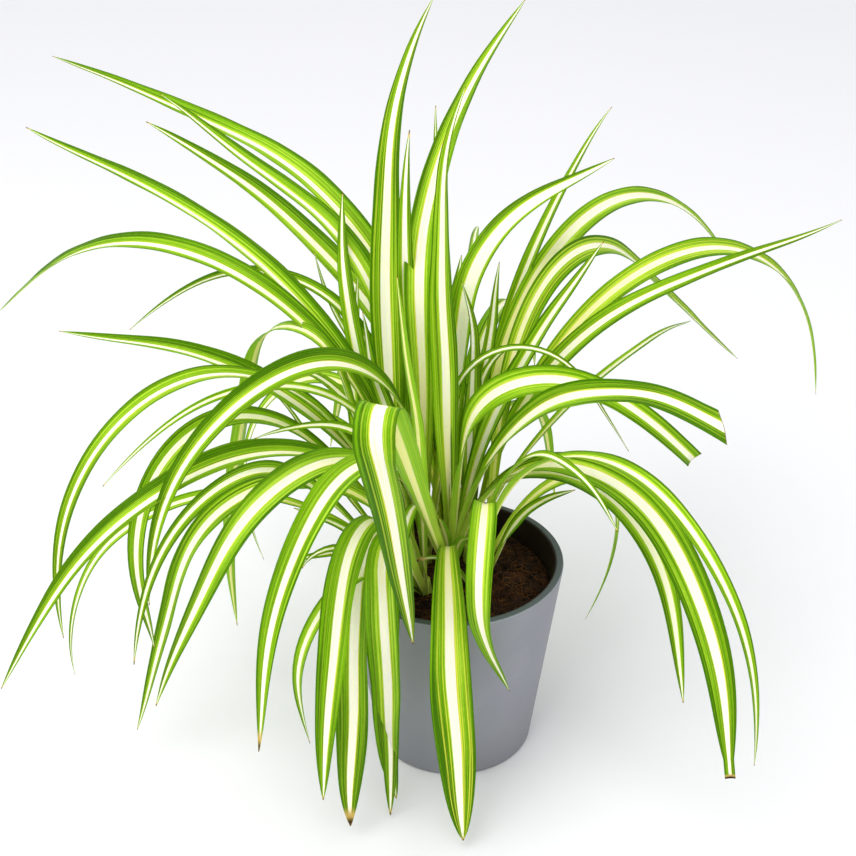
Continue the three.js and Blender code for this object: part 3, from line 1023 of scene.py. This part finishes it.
@dataclass
class Pot:
    """The pot: a tapered wall with a flat rim and rounded edges."""

    height: float = 125.0
    rim_radius: float = 65.0
    foot_radius: float = 47.0
    wall: float = 5.0
    floor: float = 6.0
    edge_rounding: float = 1.2
    foot_rounding: float = 2.5
    sides: int = 240
    spacing: float = 6.0
    swell: float = 0.0015
    swell_turn: float = 0.7

    def taper(self) -> float:
        """How much the radius grows for each unit of height."""
        return (self.rim_radius - self.foot_radius) / self.height

    def inner_radius(self, height: float) -> float:
        """Radius of the inside of the wall at a height."""
        share = height / self.height
        return mix(self.foot_radius, self.rim_radius, share) - self.wall

    def outline(self) -> Array:
        """Radius and height from the axis underneath, up the outside and down to the floor."""
        edge, foot = self.edge_rounding, self.foot_rounding
        inside = self.rim_radius - self.wall
        rim = self.height - edge
        corner = (self.rim_radius, rim)
        start = (self.foot_radius, foot)
        floor = (self.inner_radius(self.floor), self.floor)
        return np.concatenate([
            ramped([(AXIS, 0.0), (self.foot_radius - foot, 0.0)], 2.0 * self.spacing),
            quarter(self.foot_radius - foot, foot, foot, -90.0, 0.0)[1:],
            ramped([start, corner], self.spacing)[1:],
            quarter(self.rim_radius - edge, rim, edge, 0.0, 90.0)[1:],
            quarter(inside + edge, rim, edge, 90.0, 180.0),
            ramped([(inside, rim), floor, (AXIS, self.floor)], self.spacing)[1:],
        ])

    def build(self, finish: PotFinish) -> None:
        """Builds the pot, with a wall that is a hair out of round.

        Args:
            finish: its glaze.
        """
        points, faces = turned(self.outline(), self.sides)
        angle = np.arctan2(points[:, 1], points[:, 0])
        oval = self.swell * np.sin(2.0 * angle + self.swell_turn)
        points[:, :2] *= (1.0 + oval * smooth(points[:, 2] / self.height))[:, None]
        surface = Surface()
        surface.add(points, faces)
        made = surface.piece("pot_glazed", finish.material(self))
        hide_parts("pot")


# Compost


@dataclass(frozen=True)
class CompostFinish:
    """Damp dark compost with paler crumbs."""

    dark: tuple = colour(24, 11, 3)
    brown: tuple = colour(60, 32, 11)
    crumb: tuple = colour(92, 60, 28)
    lump_scale: float = 160.0
    grain_scale: float = 700.0
    brown_fade: tuple = (0.4, 0.65)
    crumb_fade: tuple = (0.56, 0.7, 0.0, 0.6)
    matt_fade: tuple = (0.3, 0.7, 0.72, 0.95)
    relief: float = 1.6

    def material(self) -> Material:
        """Builds the material from noise at two scales.

        Returns:
            The material.
        """
        graph = Graph("damp compost")
        where = graph.place()
        lumps = graph.noise(where, self.lump_scale, 4.0, 0.65)
        grains = graph.noise(where, self.grain_scale, 4.0, 0.7)
        face = graph.layers(
            graph.blend(lumps.step(*self.brown_fade), self.dark, self.brown),
            (grains.step(*self.crumb_fade), self.crumb),
        )
        return graph.finish(
            Base_Color=face,
            Roughness=grains.step(*self.matt_fade),
            Normal=graph.bump((lumps + grains) * 0.5, self.relief, 0.9),
            Specular_IOR_Level=0.2,
        )


@dataclass(frozen=True)
class FibreFinish:
    """Golden brown coir fibre."""

    pale: tuple = colour(132, 86, 34)
    deep: tuple = colour(66, 38, 14)
    scale: float = 90.0
    pale_fade: tuple = (0.35, 0.65)
    matt_fade: tuple = (0.3, 0.7, 0.6, 0.8)

    def material(self) -> Material:
        """Builds the material from noise that follows the place on the compost."""
        graph = Graph("coir fibre")
        tone = graph.noise(graph.place(), self.scale, 3.0)
        face = graph.blend(tone.step(*self.pale_fade), self.deep, self.pale)
        rough = tone.step(*self.matt_fade)
        return graph.finish(Base_Color=face, Roughness=rough, Specular_IOR_Level=0.2)


def scatter(
    rng: np.random.Generator, count: int, reach: float, middle: float
) -> tuple[Array, Array]:
    """Random places on a disc, equally dense everywhere.

    Args:
        rng: source of the places.
        count: how many.
        reach: radius of the disc.
        middle: share of the disc's area that is left free round its middle.

    Returns:
        Their x and y.
    """
    radius = reach * np.sqrt(rng.uniform(middle, 1.0, count))
    angle = rng.uniform(0.0, TURN, count)
    return radius * np.cos(angle), radius * np.sin(angle)


def copies(shapes: Array, faces: Array) -> Shape:
    """Points and faces of many shapes, each a row of points with the same faces."""
    offsets = np.arange(len(shapes))[:, None, None] * shapes.shape[1]
    return shapes.reshape(-1, 3), (faces + offsets).reshape(-1, 4)


@dataclass(frozen=True)
class Fibres:
    """Coir fibres: thin three-sided tubes along curled arcs that lie on the compost."""

    count: int = 380
    stations: int = 12
    clear: float = 7.0
    overrun: float = 3.5
    middle: float = 0.02
    length: tuple = (6.0, 24.0)
    curl: float = 3.6
    lift: float = 0.1
    hump: tuple = (0.3, 2.4)
    thickness: tuple = (0.06, 0.17)
    corners: tuple = (90.0, 210.0, 330.0)

    def shapes(self, compost: "Compost") -> Shape:
        """Works out the fibres.

        A fibre's line starts at a random place and turns steadily, so it is an arc, and rises
        from the surface as a low hump between its ends.

        Args:
            compost: what they lie on.

        Returns:
            Points and faces.
        """
        rng = np.random.default_rng(compost.seed + 1)
        share = np.linspace(0.0, 1.0, self.stations)
        reach = compost.reach(self.clear)
        x, y = scatter(rng, self.count, reach, self.middle)
        length = rng.uniform(*self.length, self.count)
        curl = rng.uniform(-self.curl, self.curl, self.count)
        start = rng.uniform(0.0, TURN, self.count)
        turn = start[:, None] + curl[:, None] * (share - 0.5)
        step = length[:, None] / self.stations
        x = x[:, None] + np.cumsum(np.cos(turn) * step, 1)
        y = y[:, None] + np.cumsum(np.sin(turn) * step, 1)
        limit = np.minimum(1.0, (reach + self.overrun) / np.hypot(x, y))
        x, y = x * limit, y * limit
        hump = rng.uniform(*self.hump, self.count)[:, None] * np.sin(np.pi * share)
        line = packed(x, y, compost.surface_height(x, y) + self.lift + hump)
        thick = rng.uniform(*self.thickness, self.count)[:, None, None]
        along = np.gradient(line, axis=1)
        along /= np.linalg.norm(along, axis=-1, keepdims=True)
        aside = np.cross(along, [0.0, 0.0, 1.0])
        aside /= np.maximum(np.linalg.norm(aside, axis=-1, keepdims=True), 1e-6)
        upward = np.cross(aside, along)
        corners = [math.radians(corner) for corner in self.corners]
        ring = np.stack(
            [line + thick * (aside * math.cos(a) + upward * math.sin(a)) for a in corners], 2
        )
        sides = len(corners)
        end = (self.stations - 1) * sides
        faces = grid_faces(self.stations, sides)
        caps = np.array([[0, 1, 2, 2], [end + 2, end + 1, end, end]])
        return copies(ring.reshape(self.count, -1, 3), np.concatenate([faces[:, ::-1], caps]))


@dataclass(frozen=True)
class Crumbs:
    """Crumbs of bark and compost: small squashed balls with uneven sides."""

    count: int = 520
    rows: int = 6
    columns: int = 8
    pole: float = 0.05
    size: tuple = (0.5, 1.9)
    stretch: tuple = (0.55, 1.35)
    uneven: tuple = (0.75, 1.25)
    clear: float = 4.5
    lift: float = 0.25

    def shapes(self, compost: "Compost") -> Shape:
        """Works out the crumbs.

        Args:
            compost: what they lie on.

        Returns:
            Points and faces.
        """
        rng = np.random.default_rng(compost.seed + 2)
        polar = np.linspace(self.pole, np.pi - self.pole, self.rows)[:, None]
        around = np.linspace(0.0, TURN, self.columns, endpoint=False)
        wide = np.sin(polar)
        ball = packed(wide * np.cos(around), wide * np.sin(around), np.cos(polar)).reshape(-1, 3)
        size = rng.uniform(*self.size, (self.count, 1, 1))
        stretch = rng.uniform(*self.stretch, (self.count, 1, 3))
        uneven = rng.uniform(*self.uneven, (self.count, len(ball), 1))
        turn = rng.uniform(0.0, TURN, self.count)[:, None]
        x, y, z = np.moveaxis(ball * size * stretch * uneven, -1, 0)
        middle_x, middle_y = scatter(rng, self.count, compost.reach(self.clear), 0.0)
        middle_z = compost.surface_height(middle_x, middle_y) + size[:, 0, 0] * self.lift
        points = packed(
            x * np.cos(turn) - y * np.sin(turn) + middle_x[:, None],
            x * np.sin(turn) + y * np.cos(turn) + middle_y[:, None],
            z + middle_z[:, None],
        )
        return copies(points, grid_faces(self.rows, self.columns)[:, ::-1])


@dataclass
class Compost:
    """The compost: a low rough mound, with crumbs and coir fibres lying on it."""

    pot: Pot
    height: float = 112.0
    mound: float = 2.0
    fillet: float = 4.0
    gap: float = 0.3
    sides: int = 220
    rounds: int = 80
    wall_spacing: float = 14.0
    roughness: float = 1.1
    wavelengths: tuple = (34.0, 21.0, 13.0, 8.0, 5.0, 3.3)
    crossings: int = 4
    growth: float = 0.55
    calm: float = 16.0
    seed: int = 5

    def reach(self, clear: float) -> float:
        """Radius of the compost that keeps clear of the wall by that much."""
        return self.pot.inner_radius(self.height) - clear

    def surface_height(self, x: Array, y: Array) -> Array:
        """Height of the rough surface.

        The mound falls with the square of the radius to the fillet, and a sum of crossed sines of
        ever shorter wavelength roughens it.

        Args:
            x: places across.
            y: places in depth.

        Returns:
            Heights in millimetres.
        """
        edge = self.reach(self.gap)
        radius = np.hypot(x, y)
        rng = np.random.default_rng(self.seed)
        rough = np.zeros_like(radius)
        for wavelength in self.wavelengths:
            size = wavelength**self.growth / self.calm
            for _ in range(self.crossings):
                turn, phase = rng.uniform(0.0, TURN, 2)
                way = x * math.cos(turn) + y * math.sin(turn)
                rough += np.sin(TURN * way / wavelength + phase) * size
        drop = smooth((radius - edge + self.fillet) / self.fillet) * self.fillet
        mound = self.mound * (1.0 - (radius / edge) ** 2)
        return self.height + mound + rough * self.roughness - drop

    def body(self) -> Shape:
        """The closed body of compost: under side, wall, and rough top."""
        floor = self.pot.floor + self.gap
        rise = self.height - self.fillet
        lower = self.pot.inner_radius(floor) - self.gap
        upper = self.pot.inner_radius(rise) - self.gap
        wall = ramped([(AXIS, floor), (lower, floor), (upper, rise)], self.wall_spacing)
        radius = np.linspace(upper, AXIS, self.rounds)[1:]
        points, faces = turned(np.concatenate([wall, packed(radius, self.height)]), self.sides)
        first = len(wall) * self.sides
        points[first:, 2] = self.surface_height(points[first:, 0], points[first:, 1])
        return points, faces

    def build(self, finish: CompostFinish, fibre: FibreFinish) -> None:
        """Builds the compost with its crumbs, and the fibres.

        Args:
            finish: the finish of compost and crumbs.
            fibre: the finish of the fibres.
        """
        surface = Surface()
        surface.add(*self.body())
        surface.add(*Crumbs().shapes(self))
        made = surface.piece("compost", finish.material())
        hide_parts("soil")
        strands = Surface()
        strands.add(*Fibres().shapes(self))
        strands.piece("coir_fibres", fibre.material())


# Studio


@dataclass(frozen=True)
class SoftLight:
    """A square soft light that faces the plant. Its place and its side are in metres."""

    name: str
    at: tuple
    side: float
    watts: float
    tint: tuple
    target: tuple = (0.0, 0.0, 0.2)

    def build(self) -> None:
        """Adds the light to the scene."""
        light = bpy.data.lights.new(self.name, "AREA")
        light.size = self.side
        light.energy = self.watts
        light.color = self.tint
        made = placed(self.name, light)
        made.location = self.at
        way = Vector(self.target) - Vector(self.at)
        made.rotation_euler = way.to_track_quat("-Z", "Y").to_euler()


@dataclass
class Studio:
    """Plain pale floor, soft lights and the camera."""

    floor_size: float = 14.0
    floor_tones: tuple = (colour(238, 239, 243), colour(242, 242, 245))
    window: SoftLight = SoftLight("window", (-0.7, -0.7, 1.9), 1.6, 30.0, (1.0, 0.99, 0.97))
    side: SoftLight = SoftLight("side", (0.9, -1.5, 1.1), 1.2, 5.0, (0.97, 0.98, 1.0))
    room_tint: tuple = (0.99, 0.99, 1.0, 1.0)
    room_strength: float = 0.8
    lens_pixels: float = 2037.0
    frame_pixels: float = 856.0
    sensor: float = 36.0
    distance: float = 983.0
    height: float = 812.0
    sideways: float = -13.5
    pitch: float = 31.25
    roll: float = -0.74

    def floor(self) -> None:
        """A pale floor that fills the view."""
        graph = Graph("pale floor")
        tone = graph.noise(graph.place(), 1.5, 2.0)
        face = graph.blend(tone, *self.floor_tones)
        half = self.floor_size / 2.0
        mesh = bpy.data.meshes.new("floor")
        corners = [(-half, -half, 0), (half, -half, 0), (half, half, 0), (-half, half, 0)]
        mesh.from_pydata(corners, [], [(0, 1, 2, 3)])
        mesh.materials.append(graph.finish(Base_Color=face, Roughness=0.75))
        made = placed("floor", mesh)

    def lights(self) -> None:
        """A large soft light over the front left, a weak one at the right, and a bright room."""
        self.window.build()
        self.side.build()
        world = bpy.data.worlds.new("room")
        world.use_nodes = True
        background = world.node_tree.nodes["Background"]
        background.inputs["Color"].default_value = self.room_tint
        background.inputs["Strength"].default_value = self.room_strength
        bpy.context.scene.world = world
        bpy.context.scene.view_settings.view_transform = "Standard"

    def camera(self) -> None:
        """The camera, looking down at the plant from the front."""
        data = bpy.data.cameras.new("camera")
        data.sensor_width = self.sensor
        data.lens = self.lens_pixels / self.frame_pixels * self.sensor
        data.clip_start, data.clip_end = 0.05, 50.0
        pitch, roll = math.radians(self.pitch), math.radians(self.roll)
        forward = Vector((0.0, math.cos(pitch), -math.sin(pitch)))
        right = Vector((1.0, 0.0, 0.0))
        up = right.cross(forward)
        turned_right = right * math.cos(roll) + up * math.sin(roll)
        turned_up = up * math.cos(roll) - right * math.sin(roll)
        axes = Matrix((turned_right, turned_up, -forward)).transposed()
        place = Vector((self.sideways, -self.distance, self.height)) * MM
        made = placed("camera", data)
        made.matrix_world = Matrix.Translation(place) @ axes.to_4x4()
        bpy.context.scene.camera = made

    def build(self) -> None:
        """Builds floor, lights and camera."""
        self.camera()
        self.floor()
        self.lights()


def main() -> None:
    """Builds the studio, the pot, the compost and the plant."""
    logging.basicConfig(level=logging.INFO, format="%(name)s: %(message)s")
    Studio().build()
    pot = Pot()
    pot.build(PotFinish())
    compost = Compost(pot)
    compost.build(CompostFinish(), FibreFinish())
    leaf_material = LeafFinish().material()
    for rosette in rosettes():
        rosette.build(compost.height, leaf_material)


if __name__ == "__main__":
    main()
